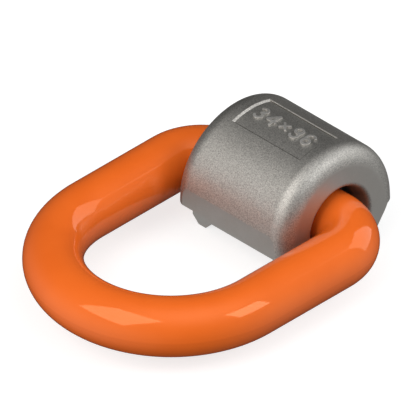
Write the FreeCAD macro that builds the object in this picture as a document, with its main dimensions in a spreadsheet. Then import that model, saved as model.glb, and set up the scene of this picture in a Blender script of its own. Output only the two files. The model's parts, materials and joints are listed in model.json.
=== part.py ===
import FreeCAD, Part
import Sketcher
import math
import os

# Weld-on lifting ring: a forged D-ring that folds about its straight bar inside a forged bracket,
# which is welded to the load. Millimetres. X runs along the ring's bar, the ring lies towards -Y
# at rest and +Z is up. The origin is at the middle of the weld footprint, on the plane of the
# distance lugs' tips, which is the surface of the plate that the bracket is welded to.

# ---------------------------------------------------------------- driving dimensions

SIZES = [
    # alias, value, meaning
    ("bar_diameter", 34, "ring's round bar"),
    ("ring_inner_width", 96, "between the ring's straight legs"),
    ("crown_reach", 88.7, "bar axis to the centre of the round crown"),
    ("ring_corner", 25.85, "centreline radius of the two corners beside the bar"),
    ("saddle_radius", 45, "bracket's round back"),
    ("side_half_width", 44.25, "bracket's flat sides, from the middle"),
    ("end_half_length", 43, "bracket's end faces, from the middle, at bar height"),
    ("end_draft", 2.5, "forging draft of the end faces, degrees"),
    ("end_round", 11, "round between back and end faces"),
    ("base_drop", 22.2, "bar axis down to the feet"),
    ("ledge_drop", 4.1, "bar axis down to the ledge under the flat sides"),
    ("bevel_top_half_width", 37, "top of the weld bevels, from the middle"),
    ("root_drop", 15.3, "bar axis down to the bottom of the weld bevels"),
    ("foot_half_width", 28, "outer walls of the feet, from the middle"),
    ("bore_diameter", 40, "bore over the bar, and slot under it"),
    ("mouth_round", 3, "round at both mouths of the bore"),
    ("flare_diameter", 50, "flare at both mouths of the bore, over its round"),
    ("flare_depth", 20, "end faces to where the flare's cone would be as narrow as the bar"),
    ("lug_drop", 4.7, "distance lugs below the feet, which set the weld's root gap"),
    ("lug_tip_outer", 39.2, "outer end of a lug's tip, from the middle"),
    ("lug_tip_inner", 33.8, "inner end of a lug's tip, from the middle"),
    ("lug_root_inner", 29.3, "inner end of a lug's root, from the middle"),
    ("panel_length", 50.5, "recessed marking panel, along the bar"),
    ("panel_angle", 38, "marking panel, around the back, degrees"),
    ("panel_depth", 1, "marking panel below the back"),
    ("panel_slope", 1.2, "run of the panel's sloping end walls, along the bar"),
    ("panel_edge_round", 0.5, "round along the panel's rim"),
    ("marking_relief", 0.9, "raised marking above the panel's floor"),
    ("marking_root", 2, "marking's strokes below the panel's floor, inside the forging"),
    ("marking_stroke", 1.5, "width of the marking's strokes"),
    ("marking_height", 9.4, "height of the marking's characters, between stroke centrelines"),
    ("marking_pitch", 9.1, "from one character of the marking to the next"),
    ("spring_fit", 0.06, "radial play of the bar in the springs"),
    ("spring_strip", 1.2, "thickness of the springs' strip"),
    ("spring_width", 12, "width of the springs' strip"),
    ("spring_place", 22, "middle of each spring, from the bracket's middle"),
    ("spring_wrap", 25, "how far below the bar's axis the springs wrap it, degrees"),
    ("spring_bend", 2.6, "centreline radius of the bend above each spring foot"),
    ("spring_foot", 22.3, "tip of the springs' feet, from the middle"),
    ("foot_play", 0.3, "play around the springs' feet in their grooves"),
]

doc = FreeCAD.newDocument("weld_on_lifting_ring")
sheet = doc.addObject("Spreadsheet::Sheet", "sizes")
for row, (alias, value, meaning) in enumerate(SIZES, start=1):
    sheet.set(f"A{row}", meaning)
    sheet.set(f"B{row}", str(value))
    sheet.setAlias(f"B{row}", alias)
doc.recompute()


def size(alias):
    """A driving dimension, read back from the sheet."""
    return float(sheet.get(alias))


BAR_RADIUS = size("bar_diameter") / 2
BORE_RADIUS = size("bore_diameter") / 2
BEYOND = 80.0  # reach of cuts that run clear of the bracket
ORIGIN_POINT = (-1, 1)
HORIZONTAL_AXIS = -1
VERTICAL_AXIS = -2
START = 1
END = 2
CENTRE = 3


# ---------------------------------------------------------------- sketch helpers


def plane(body, role):
    """One of a body's own origin planes or axes."""
    return next(item for item in body.Origin.OriginFeatures if item.Role == role)


def new_sketch(body, name, role):
    sketch = body.newObject("Sketcher::SketchObject", name)
    sketch.AttachmentSupport = [(plane(body, role), "")]
    sketch.MapMode = "FlatFace"
    return sketch


def vector(point):
    return FreeCAD.Vector(point[0], point[1], 0)


def line(sketch, start, end):
    return sketch.addGeometry(Part.LineSegment(vector(start), vector(end)))


def arc(sketch, centre, radius, first_deg, last_deg):
    """A counter-clockwise arc from first_deg to last_deg."""
    circle = Part.Circle(vector(centre), FreeCAD.Vector(0, 0, 1), radius)
    curve = Part.ArcOfCircle(circle, math.radians(first_deg), math.radians(last_deg))
    return sketch.addGeometry(curve)


def rule(sketch, kind, *where):
    sketch.addConstraint(Sketcher.Constraint(kind, *where))


def bind(sketch, name, expression, kind, *where):
    """A named dimension that follows the sheet."""
    index = sketch.addConstraint(Sketcher.Constraint(kind, *where))
    sketch.renameConstraint(index, name)
    sketch.setExpression(f"Constraints.{name}", expression)


def polygon(sketch, points):
    """Lines through the points, joined into a closed outline."""
    lines = [line(sketch, a, b) for a, b in zip(points, points[1:] + points[:1])]
    for this, following in zip(lines, lines[1:] + lines[:1]):
        rule(sketch, "Coincident", this, END, following, START)
    return lines


def place_corner(sketch, name, edge, right, up, point):
    """Ties the start of an edge to the sheet, right of and above the origin."""
    bind(sketch, f"{name}_right", right, "DistanceX", *ORIGIN_POINT, edge, START, point[0])
    bind(sketch, f"{name}_up", up, "DistanceY", *ORIGIN_POINT, edge, START, point[1])


def placed_polygon(sketch, corners):
    """A closed outline whose corners are (name, right expression, up expression, start point)."""
    lines = polygon(sketch, [corner[3] for corner in corners])
    for edge, (name, right, up, point) in zip(lines, corners):
        place_corner(sketch, name, edge, right, up, point)
    return lines


def mirrored(body, name, feature, role):
    """The same feature again on the other side of one of the body's planes."""
    copy = body.newObject("PartDesign::Mirrored", name)
    copy.Originals = [feature]
    copy.MirrorPlane = (plane(body, role), [""])
    body.Tip = copy
    doc.recompute()
    return copy


def edges_where(feature, test):
    """Names of a feature's edges that pass a test on their middle point and the edge."""
    names = []
    for number, edge in enumerate(feature.Shape.Edges, start=1):
        middle = edge.valueAt((edge.FirstParameter + edge.LastParameter) / 2)
        if test(middle, edge):
            names.append(f"Edge{number}")
    return names


# ---------------------------------------------------------------- lifting ring


def make_ring():
    """A round bar swept round a D: straight bar, two corners, two legs and a half-round crown."""
    body = doc.addObject("PartDesign::Body", "lifting_ring")
    body.Label = "lifting_ring"
    corner = size("ring_corner")
    leg = size("ring_inner_width") / 2 + BAR_RADIUS
    reach = size("crown_reach")
    straight = leg - corner

    path = new_sketch(body, "ring_path", "XY_Plane")
    bar_right = line(path, (0, 0), (straight, 0))
    corner_right = arc(path, (straight, -corner), corner, 0, 90)
    leg_right = line(path, (leg, -corner), (leg, -reach))
    crown = arc(path, (0, -reach), leg, 180, 360)
    leg_left = line(path, (-leg, -reach), (-leg, -corner))
    corner_left = arc(path, (-straight, -corner), corner, 90, 180)
    bar_left = line(path, (-straight, 0), (0, 0))
    rule(path, "Coincident", bar_right, START, *ORIGIN_POINT)
    rule(path, "Coincident", bar_left, END, bar_right, START)
    rule(path, "Tangent", bar_right, END, corner_right, END)
    rule(path, "Tangent", corner_right, START, leg_right, START)
    rule(path, "Tangent", leg_right, END, crown, END)
    rule(path, "Tangent", crown, START, leg_left, START)
    rule(path, "Tangent", leg_left, END, corner_left, END)
    rule(path, "Tangent", corner_left, START, bar_left, START)
    rule(path, "Horizontal", bar_right)
    rule(path, "Horizontal", bar_left)
    rule(path, "Vertical", leg_right)
    rule(path, "Vertical", leg_left)
    rule(path, "PointOnObject", crown, CENTRE, VERTICAL_AXIS)
    rule(path, "Equal", corner_right, corner_left)
    bind(path, "corner", "sizes.ring_corner", "Radius", corner_right, corner)
    bind(path, "crown", "(sizes.ring_inner_width + sizes.bar_diameter) / 2", "Radius", crown, leg)
    bind(path, "reach", "sizes.crown_reach", "DistanceY", crown, CENTRE, *ORIGIN_POINT, reach)

    section = new_sketch(body, "bar_section", "YZ_Plane")
    circle = section.addGeometry(Part.Circle(vector((0, 0)), FreeCAD.Vector(0, 0, 1), BAR_RADIUS))
    rule(section, "Coincident", circle, CENTRE, *ORIGIN_POINT)
    bind(section, "bar_size", "sizes.bar_diameter", "Diameter", circle, 2 * BAR_RADIUS)

    sweep = body.newObject("PartDesign::AdditivePipe", "ring_sweep")
    sweep.Profile = section
    sweep.Spine = path
    body.Tip = sweep
    body.setExpression("Placement.Base.z", "sizes.base_drop + sizes.lug_drop")
    return body


# ---------------------------------------------------------------- bracket


def add_arch(sketch, radius_size, radius, drop_size, drop):
    """A half-round top on straight legs that end drop below the bar's axis."""
    top = arc(sketch, (0, 0), radius, 0, 180)
    left = line(sketch, (-radius, 0), (-radius, -drop))
    base = line(sketch, (-radius, -drop), (radius, -drop))
    right = line(sketch, (radius, -drop), (radius, 0))
    rule(sketch, "Coincident", top, CENTRE, *ORIGIN_POINT)
    rule(sketch, "Coincident", top, END, left, START)
    rule(sketch, "Coincident", left, END, base, START)
    rule(sketch, "Coincident", base, END, right, START)
    rule(sketch, "Coincident", right, END, top, START)
    rule(sketch, "PointOnObject", top, START, HORIZONTAL_AXIS)
    rule(sketch, "PointOnObject", top, END, HORIZONTAL_AXIS)
    rule(sketch, "Vertical", left)
    rule(sketch, "Vertical", right)
    rule(sketch, "Horizontal", base)
    bind(sketch, "radius", radius_size, "Radius", top, radius)
    bind(sketch, "drop", drop_size, "DistanceY", base, END, *ORIGIN_POINT, drop)


def through_cut(body, name, outline):
    """Cuts an outline out of the whole length of the bracket."""
    cut = body.newObject("PartDesign::Pocket", name)
    cut.Profile = outline
    cut.SideType = "Symmetric"
    cut.Length = 2 * BEYOND
    body.Tip = cut
    doc.recompute()
    return cut


def add_blank(body):
    """The forging before anything is cut: the arch outline along the bar, its ends drafted."""
    radius = size("saddle_radius")
    drop = size("base_drop")
    outline = new_sketch(body, "arch_outline", "YZ_Plane")
    add_arch(outline, "sizes.saddle_radius", radius, "sizes.base_drop", drop)

    blank = body.newObject("PartDesign::Pad", "blank")
    blank.Profile = outline
    blank.SideType = "Symmetric"
    blank.setExpression("Length", "2 * sizes.end_half_length")
    doc.recompute()

    draft = body.newObject("PartDesign::Draft", "draft_ends")
    ends = []
    for number, face in enumerate(blank.Shape.Faces, start=1):
        if abs(face.normalAt(0, 0).x) > 0.999:
            ends.append(f"Face{number}")
    draft.Base = (blank, ends)
    draft.NeutralPlane = (plane(body, "XY_Plane"), [""])
    body.Tip = draft
    doc.recompute()
    draft.setExpression("Angle", "sizes.end_draft")
    doc.recompute()
    return draft


def round_ends(body, blank):
    """The large round where the back and sides run into the end faces."""
    base_level = -size("base_drop")
    reach = size("end_half_length") / 2

    def is_end_rim(middle, edge):
        return abs(middle.x) > reach and edge.Length > 1 and middle.z > base_level + 0.01

    rounds = body.newObject("PartDesign::Fillet", "end_rounds")
    rounds.Base = (blank, edges_where(blank, is_end_rim))
    rounds.setExpression("Radius", "sizes.end_round")
    body.Tip = rounds
    doc.recompute()


def cut_sides(body):
    """The flat, trimmed sides, the ledge under them, the weld bevels and the feet's outer walls."""
    half = size("side_half_width")
    shoulder = math.sqrt(size("saddle_radius") ** 2 - half**2)
    shoulder_z = "sqrt(sizes.saddle_radius ^ 2 - sizes.side_half_width ^ 2)"
    bevel = size("bevel_top_half_width")
    foot = size("foot_half_width")
    ledge = -size("ledge_drop")
    root = -size("root_drop")
    low = -size("base_drop")
    outside = f"{BEYOND}"
    outline = new_sketch(body, "side_outline", "YZ_Plane")
    placed_polygon(
        outline,
        [
            ("shoulder", "sizes.side_half_width", shoulder_z, (half, shoulder)),
            ("ledge_out", "sizes.side_half_width", "-sizes.ledge_drop", (half, ledge)),
            ("ledge_in", "sizes.bevel_top_half_width", "-sizes.ledge_drop", (bevel, ledge)),
            ("root", "sizes.foot_half_width", "-sizes.root_drop", (foot, root)),
            ("foot", "sizes.foot_half_width", "-sizes.base_drop", (foot, low)),
            ("low_out", outside, "-sizes.base_drop", (BEYOND, low)),
            ("high_out", outside, shoulder_z, (BEYOND, shoulder)),
        ],
    )
    cut = through_cut(body, "side", outline)
    mirrored(body, "other_side", cut, "XZ_Plane")


def add_lugs(body):
    """Distance lugs under the feet's ends. The slot cut afterwards parts each pad in two."""
    low = -size("base_drop")
    tip = low - size("lug_drop")
    draft = math.tan(math.radians(size("end_draft")))
    root = size("end_half_length") + size("base_drop") * draft
    root_x = "sizes.end_half_length + sizes.base_drop * tan(sizes.end_draft * 1deg)"
    tip_z = "-sizes.base_drop - sizes.lug_drop"
    outline = new_sketch(body, "lug_outline", "XZ_Plane")
    placed_polygon(
        outline,
        [
            ("root_out", root_x, "-sizes.base_drop", (root, low)),
            ("tip_out", "sizes.lug_tip_outer", tip_z, (size("lug_tip_outer"), tip)),
            ("tip_in", "sizes.lug_tip_inner", tip_z, (size("lug_tip_inner"), tip)),
            ("root_in", "sizes.lug_root_inner", "-sizes.base_drop", (size("lug_root_inner"), low)),
        ],
    )
    pad = body.newObject("PartDesign::Pad", "lugs")
    pad.Profile = outline
    pad.SideType = "Symmetric"
    pad.setExpression("Length", "2 * sizes.foot_half_width")
    body.Tip = pad
    doc.recompute()
    mirrored(body, "other_lugs", pad, "YZ_Plane")


def cut_slot(body):
    """The bore over the bar, open downwards so that the ring goes in from below."""
    outline = new_sketch(body, "slot_outline", "YZ_Plane")
    add_arch(outline, "sizes.bore_diameter / 2", BORE_RADIUS, f"{BEYOND}", BEYOND)
    return through_cut(body, "slot", outline)


def round_mouths(body, slot):
    """The rounds at both mouths of the bore and of the slot under it."""
    reach = size("end_half_length") / 2
    lug_side = -size("base_drop")

    def is_mouth(middle, edge):
        across = math.hypot(middle.y, max(middle.z, 0))
        return abs(middle.x) > reach and abs(across - BORE_RADIUS) < 0.01 and middle.z > lug_side

    rounds = body.newObject("PartDesign::Fillet", "mouth_rounds")
    rounds.Base = (slot, edges_where(slot, is_mouth))
    rounds.setExpression("Radius", "sizes.mouth_round")
    body.Tip = rounds
    doc.recompute()


def flare_mouths(body):
    """The bore widens towards both mouths, which clears the ring's corners. The flare and its
    round stand square to the drafted end face."""
    edge_round = size("mouth_round")
    rim = size("flare_diameter") / 2
    depth = size("flare_depth")
    across = math.atan2(rim - BAR_RADIUS, depth - edge_round)
    slope = across - math.asin(edge_round / math.hypot(rim - BAR_RADIUS, depth - edge_round))
    meet = (edge_round * (math.sin(slope) - 1), rim - edge_round * math.cos(slope))

    outline = new_sketch(body, "flare_outline", "XZ_Plane")
    bottom = line(outline, (-depth, 0), (-depth, BAR_RADIUS))
    cone = line(outline, (-depth, BAR_RADIUS), meet)
    lip = arc(outline, (-edge_round, rim), edge_round, math.degrees(slope) - 90, 0)
    outwards = line(outline, (0, rim), (BEYOND, rim))
    outside = line(outline, (BEYOND, rim), (BEYOND, 0))
    middle = line(outline, (BEYOND, 0), (-depth, 0))
    rule(outline, "Coincident", bottom, END, cone, START)
    rule(outline, "Tangent", cone, END, lip, START)
    rule(outline, "Coincident", lip, END, outwards, START)
    rule(outline, "Coincident", outwards, END, outside, START)
    rule(outline, "Coincident", outside, END, middle, START)
    rule(outline, "Coincident", middle, END, bottom, START)
    rule(outline, "Vertical", bottom)
    rule(outline, "Vertical", outside)
    rule(outline, "Horizontal", outwards)
    rule(outline, "Horizontal", lip, CENTRE, lip, END)
    rule(outline, "PointOnObject", middle, START, HORIZONTAL_AXIS)
    rule(outline, "PointOnObject", middle, END, HORIZONTAL_AXIS)
    bind(outline, "depth", "sizes.flare_depth", "DistanceX", bottom, START, *ORIGIN_POINT, depth)
    bind(outline, "throat", "sizes.bar_diameter / 2", "DistanceY", *ORIGIN_POINT, cone, START, BAR_RADIUS)
    bind(outline, "lip_in", "sizes.mouth_round", "DistanceX", lip, CENTRE, *ORIGIN_POINT, edge_round)
    bind(outline, "lip_up", "sizes.flare_diameter / 2", "DistanceY", *ORIGIN_POINT, lip, CENTRE, rim)
    bind(outline, "lip_round", "sizes.mouth_round", "Radius", lip, edge_round)
    bind(outline, "clear", f"{BEYOND}", "DistanceX", *ORIGIN_POINT, outside, START, BEYOND)
    outline.AttachmentOffset = FreeCAD.Placement(
        FreeCAD.Vector(size("end_half_length"), 0, 0),
        FreeCAD.Rotation(FreeCAD.Vector(0, 0, 1), size("end_draft")),
    )
    flare = body.newObject("PartDesign::Groove", "mouth_flare")
    flare.Profile = outline
    flare.ReferenceAxis = (outline, ["H_Axis"])
    flare.Angle = 360
    body.Tip = flare
    doc.recompute()
    mirrored(body, "other_mouth_flare", flare, "YZ_Plane")


def cut_panel(body):
    """The shallow marking panel, sunk evenly below the round back, with sloping ends."""
    half = size("panel_length") / 2
    mouth = half + 2 * size("panel_slope")
    mouth_x = "sizes.panel_length / 2 + 2 * sizes.panel_slope"
    floor = size("saddle_radius") - size("panel_depth")
    above = size("saddle_radius") + size("panel_depth")
    floor_z = "sizes.saddle_radius - sizes.panel_depth"
    above_z = "sizes.saddle_radius + sizes.panel_depth"
    outline = new_sketch(body, "panel_outline", "XZ_Plane")
    placed_polygon(
        outline,
        [
            ("low_left", "-sizes.panel_length / 2", floor_z, (-half, floor)),
            ("low_right", "sizes.panel_length / 2", floor_z, (half, floor)),
            ("high_right", mouth_x, above_z, (mouth, above)),
            ("high_left", f"-({mouth_x})", above_z, (-mouth, above)),
        ],
    )
    cut = body.newObject("PartDesign::Groove", "panel")
    cut.Profile = outline
    cut.ReferenceAxis = (plane(body, "X_Axis"), [""])
    cut.Midplane = True
    cut.setExpression("Angle", "sizes.panel_angle")
    body.Tip = cut
    doc.recompute()

    reach = half + size("panel_slope") + 0.01
    spread = math.radians(size("panel_angle") / 2) + 0.001

    def is_rim(middle, edge):
        away = math.hypot(middle.y, middle.z)
        around = abs(math.atan2(middle.y, middle.z))
        on_back = abs(away - size("saddle_radius")) < 0.01
        return on_back and abs(middle.x) < reach and around < spread

    rim = body.newObject("PartDesign::Fillet", "panel_rim")
    rim.Base = (cut, edges_where(cut, is_rim))
    rim.setExpression("Radius", "sizes.panel_edge_round")
    body.Tip = rim
    doc.recompute()


def cut_spring_grooves(body):
    """Grooves in the slot's walls that hold the feet of the springs."""
    inner = size("spring_place") - size("spring_width") / 2 - size("foot_play")
    outer = size("spring_place") + size("spring_width") / 2 + size("foot_play")
    reach = size("spring_foot") + size("foot_play")
    inner_x = "sizes.spring_place - sizes.spring_width / 2 - sizes.foot_play"
    outer_x = "sizes.spring_place + sizes.spring_width / 2 + sizes.foot_play"
    reach_y = "sizes.spring_foot + sizes.foot_play"
    outline = new_sketch(body, "groove_outline", "XY_Plane")
    placed_polygon(
        outline,
        [
            ("near_low", inner_x, f"-({reach_y})", (inner, -reach)),
            ("far_low", outer_x, f"-({reach_y})", (outer, -reach)),
            ("far_high", outer_x, reach_y, (outer, reach)),
            ("near_high", inner_x, reach_y, (inner, reach)),
        ],
    )
    outline.AttachmentOffset = FreeCAD.Placement(FreeCAD.Vector(0, 0, FOOT_TOP), FreeCAD.Rotation())
    cut = body.newObject("PartDesign::Pocket", "foot_grooves")
    cut.Profile = outline
    cut.setExpression("Length", "sizes.spring_strip + sizes.foot_play")
    body.Tip = cut
    doc.recompute()
    mirrored(body, "other_foot_grooves", cut, "YZ_Plane")


def make_bracket_body():
    body = doc.addObject("PartDesign::Body", "bracket_forging")
    body.Label = "bracket_forging"
    blank = add_blank(body)
    round_ends(body, blank)
    cut_sides(body)
    add_lugs(body)
    slot = cut_slot(body)
    round_mouths(body, slot)
    flare_mouths(body)
    cut_panel(body)
    cut_spring_grooves(body)
    return body


# ---------------------------------------------------------------- clamping springs


def spring_curves():
    """Centres, radii and angles of a spring's strip, seen along the bar."""
    inner = BAR_RADIUS + size("spring_fit")
    strip = size("spring_strip")
    wrap = size("spring_wrap")
    bend = size("spring_bend")
    away = inner + strip / 2 + bend
    bend_centre = (
        away * math.cos(math.radians(wrap)),
        -away * math.sin(math.radians(wrap)),
    )
    return inner, strip, wrap, bend, bend_centre


# underside of the play above a spring's foot: the foot lies on its groove's floor
FOOT_TOP = spring_curves()[4][1] - size("spring_bend") + size("spring_strip") / 2 + size("foot_play")


def make_spring(name, side):
    """A strip bent round the bar, its two ends turned outwards into feet."""
    inner, strip, wrap, bend, (across, down) = spring_curves()
    outer = inner + strip
    tight = bend - strip / 2
    wide = bend + strip / 2
    tip = size("spring_foot")
    below = down - wide
    above = down - tight

    body = doc.addObject("PartDesign::Body", name)
    body.Label = name
    outline = new_sketch(body, f"{name}_outline", "YZ_Plane")
    inside = arc(outline, (0, 0), inner, -wrap, 180 + wrap)
    outside = arc(outline, (0, 0), outer, -wrap, 180 + wrap)
    wide_right = arc(outline, (across, down), wide, 180 - wrap, 270)
    tight_right = arc(outline, (across, down), tight, 180 - wrap, 270)
    wide_left = arc(outline, (-across, down), wide, 270, 360 + wrap)
    tight_left = arc(outline, (-across, down), tight, 270, 360 + wrap)
    low_right = line(outline, (across, below), (tip, below))
    tip_right = line(outline, (tip, below), (tip, above))
    high_right = line(outline, (tip, above), (across, above))
    low_left = line(outline, (-across, below), (-tip, below))
    tip_left = line(outline, (-tip, below), (-tip, above))
    high_left = line(outline, (-tip, above), (-across, above))

    rule(outline, "Coincident", inside, CENTRE, *ORIGIN_POINT)
    rule(outline, "Coincident", outside, CENTRE, *ORIGIN_POINT)
    rule(outline, "Coincident", wide_right, CENTRE, tight_right, CENTRE)
    rule(outline, "Coincident", wide_left, CENTRE, tight_left, CENTRE)
    rule(outline, "Symmetric", wide_right, CENTRE, wide_left, CENTRE, VERTICAL_AXIS)
    rule(outline, "Tangent", inside, START, wide_right, START)
    rule(outline, "Tangent", outside, START, tight_right, START)
    rule(outline, "Tangent", inside, END, wide_left, END)
    rule(outline, "Tangent", outside, END, tight_left, END)
    for low, side_tip, high, wide_bend, tight_bend, bend_end in (
        (low_right, tip_right, high_right, wide_right, tight_right, END),
        (low_left, tip_left, high_left, wide_left, tight_left, START),
    ):
        rule(outline, "Tangent", wide_bend, bend_end, low, START)
        rule(outline, "Tangent", tight_bend, bend_end, high, END)
        rule(outline, "Coincident", low, END, side_tip, START)
        rule(outline, "Coincident", side_tip, END, high, START)
        rule(outline, "Horizontal", low)
        rule(outline, "Horizontal", high)
        rule(outline, "Vertical", side_tip)
    inner_radius = "sizes.bar_diameter / 2 + sizes.spring_fit"
    away = f"({inner_radius} + sizes.spring_strip / 2 + sizes.spring_bend)"
    bind(outline, "inside", inner_radius, "Radius", inside, inner)
    bind(outline, "outside", f"{inner_radius} + sizes.spring_strip", "Radius", outside, outer)
    bind(
        outline,
        "bend_across",
        f"{away} * cos(sizes.spring_wrap * 1deg)",
        "DistanceX",
        *ORIGIN_POINT,
        wide_right,
        CENTRE,
        across,
    )
    bind(
        outline,
        "bend_down",
        f"{away} * sin(sizes.spring_wrap * 1deg)",
        "DistanceY",
        wide_right,
        CENTRE,
        *ORIGIN_POINT,
        -down,
    )
    bind(outline, "tip", "sizes.spring_foot", "DistanceX", *ORIGIN_POINT, low_right, END, tip)
    bind(outline, "far_tip", "sizes.spring_foot", "DistanceX", low_left, END, *ORIGIN_POINT, tip)

    pad = body.newObject("PartDesign::Pad", f"{name}_strip")
    pad.Profile = outline
    pad.SideType = "Symmetric"
    pad.setExpression("Length", "sizes.spring_width")
    body.Tip = pad
    body.setExpression("Placement.Base.x", f"{side} * sizes.spring_place")
    body.setExpression("Placement.Base.z", "sizes.base_drop + sizes.lug_drop")
    return body


# ---------------------------------------------------------------- marking

# The ring's bar diameter and inner width, "34 x 96". Each character is a list of strokes on a grid
# with a quarter of the character's height as its unit: a "bar" from point to point, or a "bow" of
# radius 1 about a point, counter-clockwise from one angle to another.
NINE = [("bow", (0, 1), 0, 360), ("bar", (1, 1), (1, -1)), ("bow", (0, -1), -160, 0)]
SIX = [("bow", (0, -1), 0, 360), ("bar", (-1, -1), (-1, 1)), ("bow", (0, 1), 20, 180)]
THREE = [("bow", (0, 1), -90, 150), ("bow", (0, -1), -150, 90)]
FOUR = [
    ("bar", (0.6, -2), (0.6, 2)),
    ("bar", (0.6, 2), (-1.2, -0.7)),
    ("bar", (-1.2, -0.7), (1.3, -0.7)),
]
CROSS = [("bar", (-0.9, -0.9), (0.9, 0.9)), ("bar", (-0.9, 0.9), (0.9, -0.9))]
MARKING = [THREE, FOUR, CROSS, NINE, SIX]
UP = FreeCAD.Vector(0, 0, 1)
MARK_UNIT = size("marking_height") / 4
MARK_BASE = size("saddle_radius") - size("panel_depth") - size("marking_root")


def mark_point(point, shift):
    """A point of the characters' grid, at the level where the strokes start."""
    return FreeCAD.Vector(point[0] * MARK_UNIT + shift, point[1] * MARK_UNIT, MARK_BASE)


def mark_post(centre, degrees_from, degrees_over, radius):
    """An upright round post, or a sector of one, as tall as the strokes."""
    post = doc.addObject("Part::Cylinder", "mark_post")
    post.setExpression("Radius", radius)
    post.setExpression("Height", "2 * sizes.marking_root")
    post.Angle = degrees_over
    post.Placement = FreeCAD.Placement(centre, FreeCAD.Rotation(UP, degrees_from))
    return post


def mark_bar(start, end):
    """A straight stroke."""
    along = end - start
    turn = FreeCAD.Rotation(FreeCAD.Vector(1, 0, 0), along)
    bar = doc.addObject("Part::Box", "mark_bar")
    bar.setExpression("Length", f"{along.Length / MARK_UNIT} * sizes.marking_height / 4")
    bar.setExpression("Width", "sizes.marking_stroke")
    bar.setExpression("Height", "2 * sizes.marking_root")
    beside = turn.multVec(FreeCAD.Vector(0, -size("marking_stroke") / 2, 0))
    bar.Placement = FreeCAD.Placement(start + beside, turn)
    return bar


def mark_bow(centre, first, last):
    """A stroke along an arc of radius one unit."""
    middle = "sizes.marking_height / 4"
    outside = mark_post(centre, first, last - first, f"{middle} + sizes.marking_stroke / 2")
    inside = mark_post(centre, 0, 360, f"{middle} - sizes.marking_stroke / 2")
    bow = doc.addObject("Part::Cut", "mark_bow")
    bow.Base = outside
    bow.Tool = inside
    return bow


def bow_end(centre, angle):
    """The middle of a bow's end."""
    turned = math.radians(angle)
    return centre + FreeCAD.Vector(math.cos(turned), math.sin(turned), 0) * MARK_UNIT


def make_marking():
    """All strokes, with round ends, trimmed to an even height above the panel's floor."""
    strokes = []
    for place, character in enumerate(MARKING):
        shift = (place - (len(MARKING) - 1) / 2) * size("marking_pitch")
        for kind, *where in character:
            if kind == "bar":
                ends = [mark_point(point, shift) for point in where]
                strokes.append(mark_bar(*ends))
            else:
                centre, first, last = where
                middle = mark_point(centre, shift)
                strokes.append(mark_bow(middle, first, last))
                ends = [bow_end(middle, angle) for angle in (first, last)]
            if kind == "bar" or last - first < 360:
                strokes += [mark_post(end, 0, 360, "sizes.marking_stroke / 2") for end in ends]
    raw = doc.addObject("Part::MultiFuse", "marking_strokes")
    raw.Shapes = strokes
    crest = doc.addObject("Part::Cylinder", "marking_crest")
    crest.setExpression("Radius", "sizes.saddle_radius - sizes.panel_depth + sizes.marking_relief")
    crest.setExpression("Height", "sizes.panel_length")
    crest.Placement = FreeCAD.Placement(
        FreeCAD.Vector(-size("panel_length") / 2, 0, 0),
        FreeCAD.Rotation(UP, FreeCAD.Vector(1, 0, 0)),
    )
    marking = doc.addObject("Part::Common", "marking")
    marking.Base = raw
    marking.Tool = crest
    return marking


# ---------------------------------------------------------------- assembly

ring = make_ring()
bracket = doc.addObject("Part::Fuse", "weld_on_bracket")
bracket.Label = "weld_on_bracket"
bracket.Base = make_bracket_body()
bracket.Tool = make_marking()
bracket.setExpression("Placement.Base.z", "sizes.base_drop + sizes.lug_drop")
spring_left = make_spring("clamping_spring_left", -1)
spring_right = make_spring("clamping_spring_right", 1)
doc.recompute()

pieces = {
    "lifting_ring": ring,
    "weld_on_bracket": bracket,
    "clamping_spring_left": spring_left,
    "clamping_spring_right": spring_right,
}

for item in doc.Objects:
    for trouble in ("Invalid", "Error"):
        if trouble in item.State:
            raise RuntimeError(f"{item.Name} is {item.State}")
for name, piece in pieces.items():
    shape = piece.Shape
    if shape.isNull() or not shape.isValid() or len(shape.Solids) != 1:
        raise RuntimeError(f"{name} has no sound solid")

os.makedirs("parts", exist_ok=True)
for name, piece in pieces.items():
    piece.Shape.exportStep(os.path.join("parts", f"{name}.step"))
    box = piece.Shape.optimalBoundingBox()
    print(f"{name}: {piece.Shape.Volume:.1f} mm3, Z {box.ZMin:.2f} to {box.ZMax:.2f}")
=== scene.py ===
import json
import math

import bpy
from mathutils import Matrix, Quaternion, Vector


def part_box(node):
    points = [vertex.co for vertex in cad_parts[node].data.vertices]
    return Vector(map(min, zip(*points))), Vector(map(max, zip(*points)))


# Weld-on lifting ring: looks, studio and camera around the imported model. Metres, Z up.

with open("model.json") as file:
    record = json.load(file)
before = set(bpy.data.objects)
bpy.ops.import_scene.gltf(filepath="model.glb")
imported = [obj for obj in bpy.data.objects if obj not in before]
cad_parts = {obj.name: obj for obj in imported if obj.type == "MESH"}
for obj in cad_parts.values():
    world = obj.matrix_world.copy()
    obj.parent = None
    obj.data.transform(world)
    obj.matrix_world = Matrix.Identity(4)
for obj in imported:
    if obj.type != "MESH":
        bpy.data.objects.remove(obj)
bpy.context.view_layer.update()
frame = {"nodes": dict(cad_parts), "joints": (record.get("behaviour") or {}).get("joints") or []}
nodes = frame["nodes"]

# the hinge lies in the middle of the ring's straight bar
BAR_CENTRE = Vector(frame["joints"][0]["pos_m"])
BACK_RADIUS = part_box("weld_on_bracket")[1].z - BAR_CENTRE.z

# painted shade: the flared bore is darkened out to the round at its mouths
BORE_SHADE_RADIUS = 0.0218
BORE_SHADE_END_RADIUS = 0.0242

# the recessed marking panel on the bracket's round back: its depth and its floor's radius, the
# part that lies clear of its rim, the width of the strip along each long side of that part, and
# a height above the bar's centre that the whole panel lies above
PANEL_DEPTH = 0.001
PANEL_FLOOR = BACK_RADIUS - PANEL_DEPTH
PANEL_HALF_LENGTH = 0.0248
PANEL_HALF_WIDTH = 0.0138
PANEL_WALL = 0.001
PANEL_LOWEST = 0.040
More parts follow.
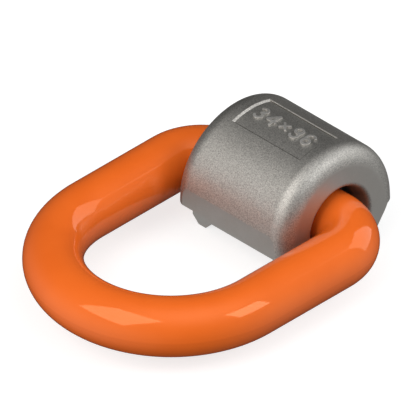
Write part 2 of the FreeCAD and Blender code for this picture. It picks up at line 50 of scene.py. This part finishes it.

# heights above the panel's floor: the painted shade in its corners, and the raised marking's
# crests, painted lighter as wear and as highlight
CORNER_SHADE_HEIGHT = 0.0002
CREST_START = 0.0003
CREST_FULL = 0.0007

# how squarely a face of the forging points along X, along Y or down: where it starts to count as
# trimmed flat, and where it counts in full
END_FACING = (0.975, 0.995)
SIDE_FACING = (0.985, 0.995)
DOWN_FACING = (0.4, 0.6)

# how strongly the painted shade darkens the steel in the bore
BORE_SHADE_COVER = 0.85

# coarse and fine grain in the blasted skin's speckle
COARSE_SHARE = 0.55
FINE_SHARE = 0.45


# ---------------------------------------------------------------- node helpers


def plug(value, socket):
    """Links another node's output to a socket, or sets the socket to a plain value."""
    if isinstance(value, bpy.types.NodeSocket):
        socket.id_data.links.new(value, socket)
    else:
        socket.default_value = value


def node_adder(tree):
    """A function that adds nodes to the tree, with their inputs and settings."""

    def add(kind, inputs=(), **settings):
        node = tree.nodes.new(kind)
        for key, value in settings.items():
            setattr(node, key, value)
        for socket, value in dict(inputs).items():
            plug(value, node.inputs[socket])
        return node

    return add


def new_material(name):
    """A node material, its shader and a function that adds nodes to it."""
    material = bpy.data.materials.new(name)
    material.use_nodes = True
    tree = material.node_tree
    return material, tree.nodes["Principled BSDF"], node_adder(tree)


def ramp(add, value, low, high):
    """Goes smoothly from 0 at low to 1 at high."""
    node = add(
        "ShaderNodeMapRange",
        {"Value": value, "From Min": low, "From Max": high},
        interpolation_type="SMOOTHSTEP",
    )
    return node.outputs["Result"]


def rescale(add, value, low, high):
    """A 0 to 1 value spread over low to high."""
    node = add("ShaderNodeMapRange", {"Value": value, "To Min": low, "To Max": high})
    return node.outputs["Result"]


def noise(add, where, size_m, detail=2.0, roughness=0.5):
    """Noise whose features are about size_m across."""
    node = add(
        "ShaderNodeTexNoise",
        {"Vector": where, "Scale": 1 / size_m, "Detail": detail, "Roughness": roughness},
    )
    return node.outputs["Fac"]


def socket_of(sockets, name, kind):
    """The socket with this name that carries this kind of value."""
    return next(s for s in sockets if s.name == name and s.type == kind)


def mix_colour(add, factor, first, second):
    """The first colour where the factor is 0, the second where it is 1."""
    node = add("ShaderNodeMix", data_type="RGBA")
    plug(factor, socket_of(node.inputs, "Factor", "VALUE"))
    plug(first, socket_of(node.inputs, "A", "RGBA"))
    plug(second, socket_of(node.inputs, "B", "RGBA"))
    return socket_of(node.outputs, "Result", "RGBA")


def maths(add, operation, first, second=0.0):
    return add("ShaderNodeMath", {0: first, 1: second}, operation=operation).outputs["Value"]


def bump_normal(add, height, strength, distance_m):
    """The normal of a surface with fine relief up to distance_m."""
    node = add("ShaderNodeBump", {"Strength": strength, "Distance": distance_m, "Height": height})
    return node.outputs["Normal"]


# ---------------------------------------------------------------- materials

ORANGE = (0.975, 0.174, 0.0215, 1.0)
ORANGE_DEEP = (0.945, 0.164, 0.019, 1.0)
COATING_SHEEN = (1.0, 0.55, 0.32, 1.0)
STEEL = (0.455, 0.442, 0.415, 1.0)
STEEL_DARK = (0.302, 0.294, 0.278, 1.0)
STEEL_LIGHT = (0.592, 0.577, 0.543, 1.0)
STEEL_TRIMMED = (0.475, 0.462, 0.44, 1.0)
# painted highlight and wear: light colour for the marking's raised crests
STEEL_WORN_AND_HIGHLIGHT = (0.92, 0.90, 0.87, 1.0)
# painted shade: dark colour for the panel's corners and the bore
STEEL_SHADE = (0.19, 0.18, 0.165, 1.0)
BLUED = (0.16, 0.17, 0.19, 1.0)
BLUED_LIGHT = (0.24, 0.25, 0.27, 1.0)


def make_coating():
    """Thick glossy powder coat: even colour and gloss with faint clouds, slight orange peel."""
    material, shader, add = new_material("orange_coating")
    where = add("ShaderNodeTexCoord").outputs["Object"]
    cloud = noise(add, where, size_m=0.030)
    haze = noise(add, where, size_m=0.012, detail=3.0)
    peel = noise(add, where, size_m=0.0035, detail=1.0)

    deepened = ramp(add, cloud, 0.35, 0.65)
    plug(mix_colour(add, deepened, ORANGE, ORANGE_DEEP), shader.inputs["Base Color"])
    shader.inputs["Specular IOR Level"].default_value = 0.9
    shader.inputs["Specular Tint"].default_value = COATING_SHEEN
    plug(rescale(add, haze, 0.035, 0.085), shader.inputs["Roughness"])
    plug(bump_normal(add, peel, strength=0.05, distance_m=0.0002), shader.inputs["Normal"])
    return material


def trimmed_mask(add):
    """1 on the forging's flat, trimmed faces: ends, sides and everything that faces down."""
    normal = add("ShaderNodeNewGeometry").outputs["True Normal"]
    own_normal = add(
        "ShaderNodeVectorTransform",
        {"Vector": normal},
        vector_type="NORMAL",
        convert_from="WORLD",
        convert_to="OBJECT",
    ).outputs["Vector"]
    facing = add("ShaderNodeSeparateXYZ", {"Vector": own_normal}).outputs
    end_face = ramp(add, maths(add, "ABSOLUTE", facing["X"]), *END_FACING)
    side_face = ramp(add, maths(add, "ABSOLUTE", facing["Y"]), *SIDE_FACING)
    under_face = ramp(add, maths(add, "MULTIPLY", facing["Z"], -1.0), *DOWN_FACING)
    return maths(add, "MAXIMUM", maths(add, "MAXIMUM", end_face, side_face), under_face)


def steel_masks(add, where):
    """Masks of the marking's crests, painted lighter as wear and as highlight, and of painted
    shade:
    in the panel's corners and in the bore."""
    place = add("ShaderNodeSeparateXYZ", {"Vector": where}).outputs
    along = maths(add, "ABSOLUTE", place["X"])
    across = maths(add, "ABSOLUTE", place["Y"])
    above_axis = maths(add, "SUBTRACT", place["Z"], BAR_CENTRE.z)
    across_squared = maths(add, "MULTIPLY", across, across)
    above_squared = maths(add, "MULTIPLY", above_axis, above_axis)
    radius = maths(add, "SQRT", maths(add, "ADD", across_squared, above_squared))
    on_top = maths(add, "GREATER_THAN", above_axis, PANEL_LOWEST)

    def within(margin):
        """1 where the point lies over the panel, widened by a margin along its long sides."""
        in_length = maths(add, "LESS_THAN", along, PANEL_HALF_LENGTH)
        in_width = maths(add, "LESS_THAN", across, PANEL_HALF_WIDTH + margin)
        return maths(add, "MULTIPLY", on_top, maths(add, "MULTIPLY", in_length, in_width))

    on_floor = within(0.0)
    # the marking's crests, painted lighter: partly wear, partly painted highlight
    raised = ramp(add, radius, PANEL_FLOOR + CREST_START, PANEL_FLOOR + CREST_FULL)
    crest_wear_and_highlight = maths(add, "MULTIPLY", on_floor, raised)

    # painted shade along the foot of the panel's walls, in its corners
    corner = maths(add, "SUBTRACT", within(PANEL_WALL), on_floor)
    low = maths(add, "LESS_THAN", radius, PANEL_FLOOR + CORNER_SHADE_HEIGHT)
    corner_shade = maths(add, "MULTIPLY", corner, low)
    # painted shade in the bore, darkest inside the flare
    inwards = maths(add, "MULTIPLY", radius, -1.0)
    in_bore = ramp(add, inwards, -BORE_SHADE_END_RADIUS, -BORE_SHADE_RADIUS)
    bore_shade = maths(add, "MULTIPLY", in_bore, BORE_SHADE_COVER)
    painted_shade = maths(add, "MAXIMUM", corner_shade, bore_shade)
    return crest_wear_and_highlight, painted_shade


def make_forged_steel():
    """Shot-blasted forged steel: dimpled on the round back, smoother where it is trimmed flat."""
    material, shader, add = new_material("forged_steel")
    where = add("ShaderNodeTexCoord").outputs["Object"]
    blasted = maths(add, "SUBTRACT", 1.0, trimmed_mask(add))
    crest_wear_and_highlight, painted_shade = steel_masks(add, where)

    grain = noise(add, where, size_m=0.0008, detail=2.0, roughness=0.6)
    fine = noise(add, where, size_m=0.0004, detail=1.0)
    cloud = noise(add, where, size_m=0.012, detail=3.0)
    coarse_part = maths(add, "MULTIPLY", grain, COARSE_SHARE)
    fine_part = maths(add, "MULTIPLY", fine, FINE_SHARE)
    speckle = maths(add, "ADD", coarse_part, fine_part)

    speckled = mix_colour(add, ramp(add, speckle, 0.38, 0.62), STEEL_DARK, STEEL_LIGHT)
    even = mix_colour(add, ramp(add, cloud, 0.3, 0.7), STEEL_TRIMMED, STEEL)
    skin = mix_colour(add, rescale(add, blasted, 0.08, 0.8), even, speckled)
    # crests painted near white: wear and a painted highlight
    wear_and_highlight = maths(add, "MULTIPLY", crest_wear_and_highlight, rescale(add, grain, 0.6, 1.0))
    worn_and_highlighted_skin = mix_colour(add, wear_and_highlight, skin, STEEL_WORN_AND_HIGHLIGHT)
    # painted shade in the panel's corners and in the bore
    plug(mix_colour(add, painted_shade, worn_and_highlighted_skin, STEEL_SHADE), shader.inputs["Base Color"])
    shader.inputs["Metallic"].default_value = 1.0
    plug(rescale(add, cloud, 0.47, 0.56), shader.inputs["Roughness"])
    relief = rescale(add, blasted, 0.06, 0.5)
    plug(bump_normal(add, speckle, relief, distance_m=0.0002), shader.inputs["Normal"])
    return material


def make_spring_steel():
    """Blued spring strip, drawn lengthwise."""
    material, shader, add = new_material("blued_spring_steel")
    where = add("ShaderNodeTexCoord").outputs["Object"]
    drawn = add("ShaderNodeMapping", {"Vector": where, "Scale": (3.0, 0.4, 0.4)})
    lines = noise(add, drawn.outputs["Vector"], size_m=0.0008, detail=3.0)
    plug(mix_colour(add, lines, BLUED, BLUED_LIGHT), shader.inputs["Base Color"])
    shader.inputs["Metallic"].default_value = 1.0
    plug(rescale(add, lines, 0.28, 0.45), shader.inputs["Roughness"])
    plug(bump_normal(add, lines, strength=0.2, distance_m=0.0001), shader.inputs["Normal"])
    return material


def dress(node, material):
    nodes[node].material_slots[0].material = material


dress("lifting_ring", make_coating())
dress("weld_on_bracket", make_forged_steel())
spring_steel = make_spring_steel()
dress("clamping_spring_left", spring_steel)
dress("clamping_spring_right", spring_steel)


# ---------------------------------------------------------------- studio

FLOOR_HALF = 6.0
FLOOR_GREY = (0.44, 0.44, 0.44, 1)
FLOOR_GREY_LIGHT = (0.47, 0.47, 0.47, 1)
FLOOR_GLOW = 0.74
WHITE = (1.0, 1.0, 1.0, 1.0)
WARM_WHITE = (1.0, 0.97, 0.93)

LIGHT_DISTANCE = 3.0
STUDIO_LEVEL = 1.06

# the room's soft glow: from azimuth, elevation, how tightly it is gathered, strength
GLOWS = [
    (-11, -8, 3, 0.97),
    (125, 0, 4, 0.55),
    (88, 65, 6, 1.00),
    (10, 62, 6, 0.35),
    (-65, 0, 6, 0.20),
    (140, -30, 4, 0.12),
]
GLOW_EVERYWHERE = 0.03


def make_floor():
    """A plain pale floor, seen from above only. It shows to the camera and takes light, but gives
    none back to the object, so the object's underside stays as dark as in a soft studio."""
    mesh = bpy.data.meshes.new("floor")
    near, far = -FLOOR_HALF, FLOOR_HALF
    corners = [(near, near, 0), (far, near, 0), (far, far, 0), (near, far, 0)]
    mesh.from_pydata(corners, [], [(0, 1, 2, 3)])
    floor = bpy.data.objects.new("floor", mesh)
    bpy.context.scene.collection.objects.link(floor)

    material, shader, add = new_material("pale_floor")
    where = add("ShaderNodeTexCoord").outputs["Object"]
    tint = noise(add, where, size_m=0.25)
    plug(mix_colour(add, tint, FLOOR_GREY, FLOOR_GREY_LIGHT), shader.inputs["Base Color"])
    shader.inputs["Roughness"].default_value = 0.9
    shader.inputs["Specular IOR Level"].default_value = 0.0
    shader.inputs["Emission Color"].default_value = WHITE
    shader.inputs["Emission Strength"].default_value = FLOOR_GLOW
    from_below = add("ShaderNodeNewGeometry").outputs["Backfacing"]
    clear = add("ShaderNodeBsdfTransparent").outputs["BSDF"]
    one_sided = add("ShaderNodeMixShader", {0: from_below, 1: shader.outputs["BSDF"], 2: clear})
    surface = material.node_tree.nodes["Material Output"].inputs["Surface"]
    plug(one_sided.outputs["Shader"], surface)
    mesh.materials.append(material)

    floor.visible_diffuse = False
    floor.visible_glossy = False
    floor.visible_shadow = False


def towards(azimuth, elevation):
    """Unit vector: azimuth 0 is towards -Y and 90 towards +X, elevation is above the horizon."""
    a, e = math.radians(azimuth), math.radians(elevation)
    return Vector((math.sin(a) * math.cos(e), -math.cos(a) * math.cos(e), math.sin(e)))


def softbox(name, azimuth, elevation, width, height, turn, strength, colour=(1, 1, 1)):
    """A rectangular light seen from the object under width by height, as tangents of the angle.
    Strength is the radiance it shows, and turn rolls it about the line to the object."""
    light = bpy.data.lights.new(name, "AREA")
    light.shape = "RECTANGLE"
    light.size = width * LIGHT_DISTANCE
    light.size_y = height * LIGHT_DISTANCE
    light.energy = STUDIO_LEVEL * strength * math.pi * light.size * light.size_y
    light.color = colour
    lamp = bpy.data.objects.new(name, light)
    aim = towards(azimuth, elevation)
    roll = Quaternion(aim, math.radians(turn))
    lamp.location = BAR_CENTRE + aim * LIGHT_DISTANCE
    lamp.rotation_mode = "QUATERNION"
    lamp.rotation_quaternion = roll @ aim.to_track_quat("Z", "Y")
    bpy.context.scene.collection.objects.link(lamp)


def make_world():
    """A grey studio room, brighter in front and on the right. The camera sees it as plain white."""
    world = bpy.data.worlds.new("studio")
    world.use_nodes = True
    tree = world.node_tree
    add = node_adder(tree)
    direction = add("ShaderNodeTexCoord").outputs["Generated"]

    total = GLOW_EVERYWHERE
    for azimuth, elevation, tightness, strength in GLOWS:
        centre = towards(azimuth, elevation)
        facing = add("ShaderNodeVectorMath", {0: direction, 1: centre}, operation="DOT_PRODUCT")
        in_front = maths(add, "MAXIMUM", facing.outputs["Value"], 0.0)
        lobe = maths(add, "POWER", in_front, tightness)
        total = maths(add, "ADD", maths(add, "MULTIPLY", lobe, strength), total)

    room = tree.nodes["Background"]
    room.inputs["Color"].default_value = WHITE
    plug(maths(add, "MULTIPLY", total, STUDIO_LEVEL), room.inputs["Strength"])
    backdrop = add("ShaderNodeBackground", {"Color": WHITE})
    to_camera = add("ShaderNodeLightPath").outputs["Is Camera Ray"]
    seen = add(
        "ShaderNodeMixShader",
        {0: to_camera, 1: room.outputs["Background"], 2: backdrop.outputs["Background"]},
    )
    plug(seen.outputs["Shader"], tree.nodes["World Output"].inputs["Surface"])
    bpy.context.scene.world = world


make_floor()
make_world()
softbox("front_softbox", -2.5, 43.5, 0.71, 0.74, turn=-19, strength=2.5, colour=WARM_WHITE)
softbox("side_softbox", 110.0, 36.8, 0.44, 0.42, turn=0, strength=3.1)
softbox("back_softbox", 163.0, 24.5, 0.66, 0.76, turn=0, strength=1.4)


# ---------------------------------------------------------------- camera

# where the view is from in degrees, its width, and how far its middle lies from the bar's
VIEW_AZIMUTH = 45.0
VIEW_ELEVATION = 35.264
VIEW_WIDTH = 0.23109
VIEW_RIGHT_OF_BAR = -0.041306
VIEW_ABOVE_BAR = -0.009681


def make_camera():
    """A camera without perspective, one metre back from the middle of the view."""
    data = bpy.data.cameras.new("camera")
    data.type = "ORTHO"
    data.ortho_scale = VIEW_WIDTH
    data.clip_end = 20.0
    camera = bpy.data.objects.new("camera", data)
    back = towards(VIEW_AZIMUTH, VIEW_ELEVATION)
    right = Vector((0, 0, 1)).cross(back).normalized()
    up = back.cross(right)
    target = BAR_CENTRE + right * VIEW_RIGHT_OF_BAR + up * VIEW_ABOVE_BAR
    camera.location = target + back
    camera.rotation_mode = "QUATERNION"
    camera.rotation_quaternion = back.to_track_quat("Z", "Y")
    bpy.context.scene.collection.objects.link(camera)
    bpy.context.scene.camera = camera


make_camera()
bpy.context.scene.view_settings.view_transform = "Standard"
